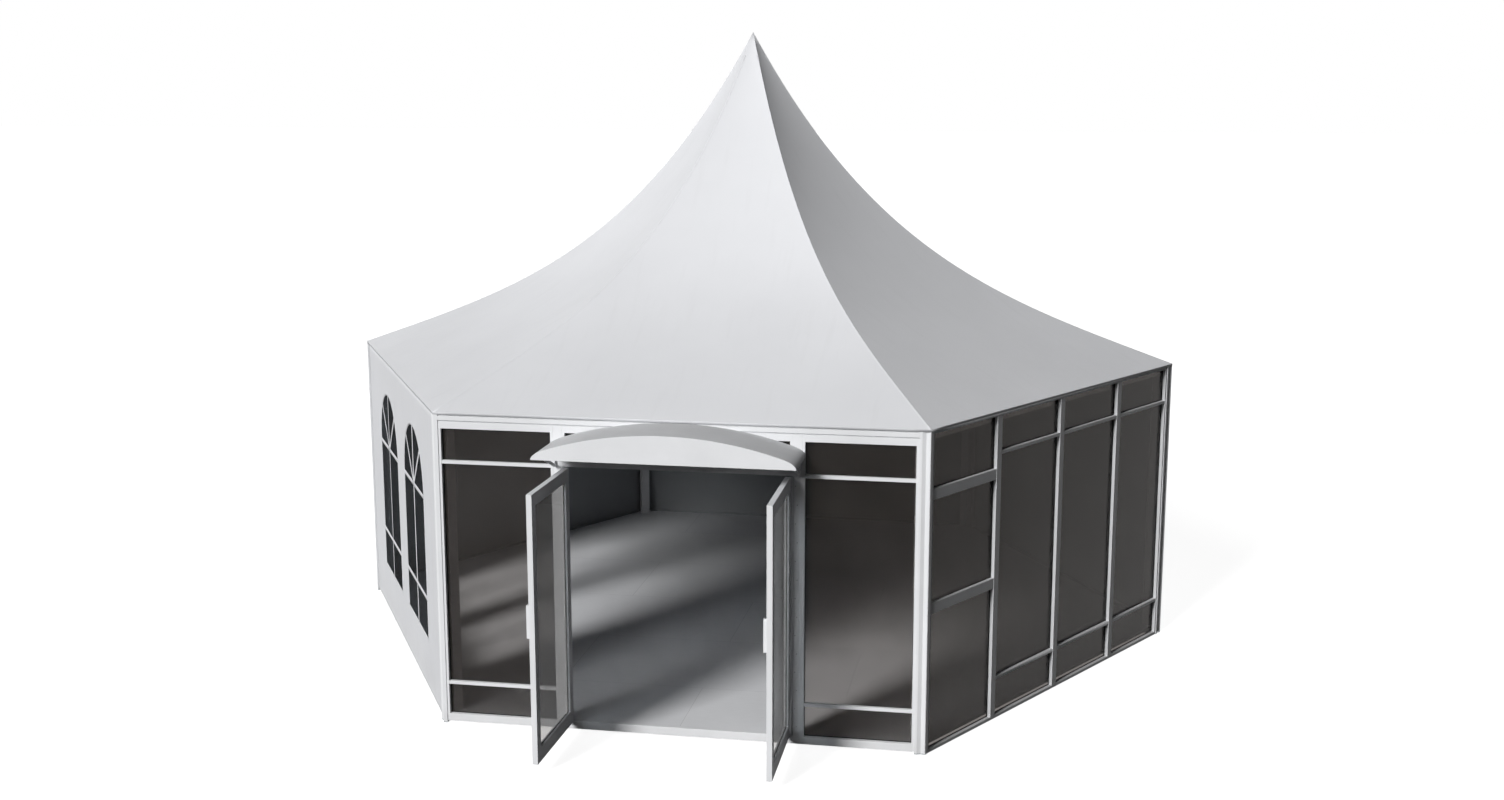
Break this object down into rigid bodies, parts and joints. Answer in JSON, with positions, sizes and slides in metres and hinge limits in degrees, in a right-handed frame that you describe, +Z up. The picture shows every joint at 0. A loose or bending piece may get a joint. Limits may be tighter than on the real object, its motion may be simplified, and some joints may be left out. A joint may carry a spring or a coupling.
{
  "type": "tent",
  "caption": "Hexagonal high-peak marquee with glazed front and side, arched fabric windows, open double door and arched door canopy.",
  "frame": {"origin": "on the ground at the centre of the hexagonal plan, on the underside of the floor deck's middle joist", "axes": "+Z up, the glazed front wall with the door faces -Y, +X to the right as one faces the door"},
  "size_m": [8, 7.8637, 5.697],
  "materials": {
    "coated_pvc_roof": "PVC-coated polyester membrane, satin",
    "coated_pvc_wall": "PVC-coated polyester wall skin, satin",
    "clear_pvc_film": "clear flexible PVC window film",
    "white_powder_coat": "white powder coat on aluminium extrusion, satin",
    "anodised_aluminium": "natural anodised aluminium",
    "galvanised_steel": "hot-dip galvanised steel, dull",
    "bronze_glass": "bronze-tinted toughened glass",
    "floor_board": "grey-coated floor board",
    "grey_canopy_sheet": "grey coated aluminium sheet, satin"
  },
  "bodies": {
    "frame": {"corner_post_front_left": "white_powder_coat", "corner_post_front_right": "white_powder_coat", "corner_post_right": "white_powder_coat", "corner_post_back_right": "white_powder_coat", "corner_post_back_left": "white_powder_coat", "corner_post_left": "white_powder_coat", "foot_plate_front_left": "galvanised_steel", "foot_plate_front_right": "galvanised_steel", "foot_plate_right": "galvanised_steel", "foot_plate_back_right": "galvanised_steel", "foot_plate_back_left": "galvanised_steel", "foot_plate_left": "galvanised_steel", "eave_beam_front": "anodised_aluminium", "eave_beam_right": "anodised_aluminium", "eave_beam_back_right": "anodised_aluminium", "eave_beam_back": "anodised_aluminium", "eave_beam_back_left": "anodised_aluminium", "eave_beam_left": "anodised_aluminium", "stay_rod_front_left_to_back_right": "galvanised_steel", "stay_rod_front_right_to_back_left": "galvanised_steel", "stay_rod_right_to_left": "galvanised_steel", "stay_hub": "galvanised_steel", "mast": "anodised_aluminium", "mast_head": "anodised_aluminium", "roof_membrane": "coated_pvc_roof", "floor_deck": "floor_board", "left_wall_skin": "coated_pvc_wall", "left_window_film": "clear_pvc_film", "back_right_wall_skin": "coated_pvc_wall", "back_wall_skin": "coated_pvc_wall", "back_left_wall_skin": "coated_pvc_wall", "right_frame": "white_powder_coat", "right_pane_1": "bronze_glass", "right_pane_2": "bronze_glass", "right_pane_3": "bronze_glass", "right_pane_4": "bronze_glass", "front_frame_left": "white_powder_coat", "front_pane_left": "bronze_glass", "door_post_left": "white_powder_coat", "front_frame_right": "white_powder_coat", "front_pane_right": "bronze_glass", "door_post_right": "white_powder_coat", "over_door_frame": "white_powder_coat", "over_door_pane": "bronze_glass", "door_threshold": "white_powder_coat", "front_fascia": "white_powder_coat", "hinge_half_post_left": "white_powder_coat", "hinge_half_post_right": "white_powder_coat", "canopy_sheet": "grey_canopy_sheet", "canopy_front_board": "white_powder_coat", "canopy_bracket_left": "white_powder_coat", "canopy_bracket_right": "white_powder_coat"},
    "left_leaf": {"door_leaf_left": "white_powder_coat", "door_glass_left": "bronze_glass", "door_pull_left": "white_powder_coat", "hinge_half_leaf_left": "white_powder_coat"},
    "right_leaf": {"door_leaf_right": "white_powder_coat", "door_glass_right": "bronze_glass", "door_pull_right": "white_powder_coat", "hinge_half_leaf_right": "white_powder_coat"}
  },
  "joints": [
    {"name": "left_door", "type": "hinge", "parent": "frame", "child": "left_leaf", "pos_m": [-0.93, -3.4701, 0], "axis": [0, 0, -1], "range_deg": [-91.2, 73.8]},
    {"name": "right_door", "type": "hinge", "parent": "frame", "child": "right_leaf", "pos_m": [0.93, -3.4701, 0], "axis": [0, 0, 1], "range_deg": [-90.7, 74.3]}
  ]
}
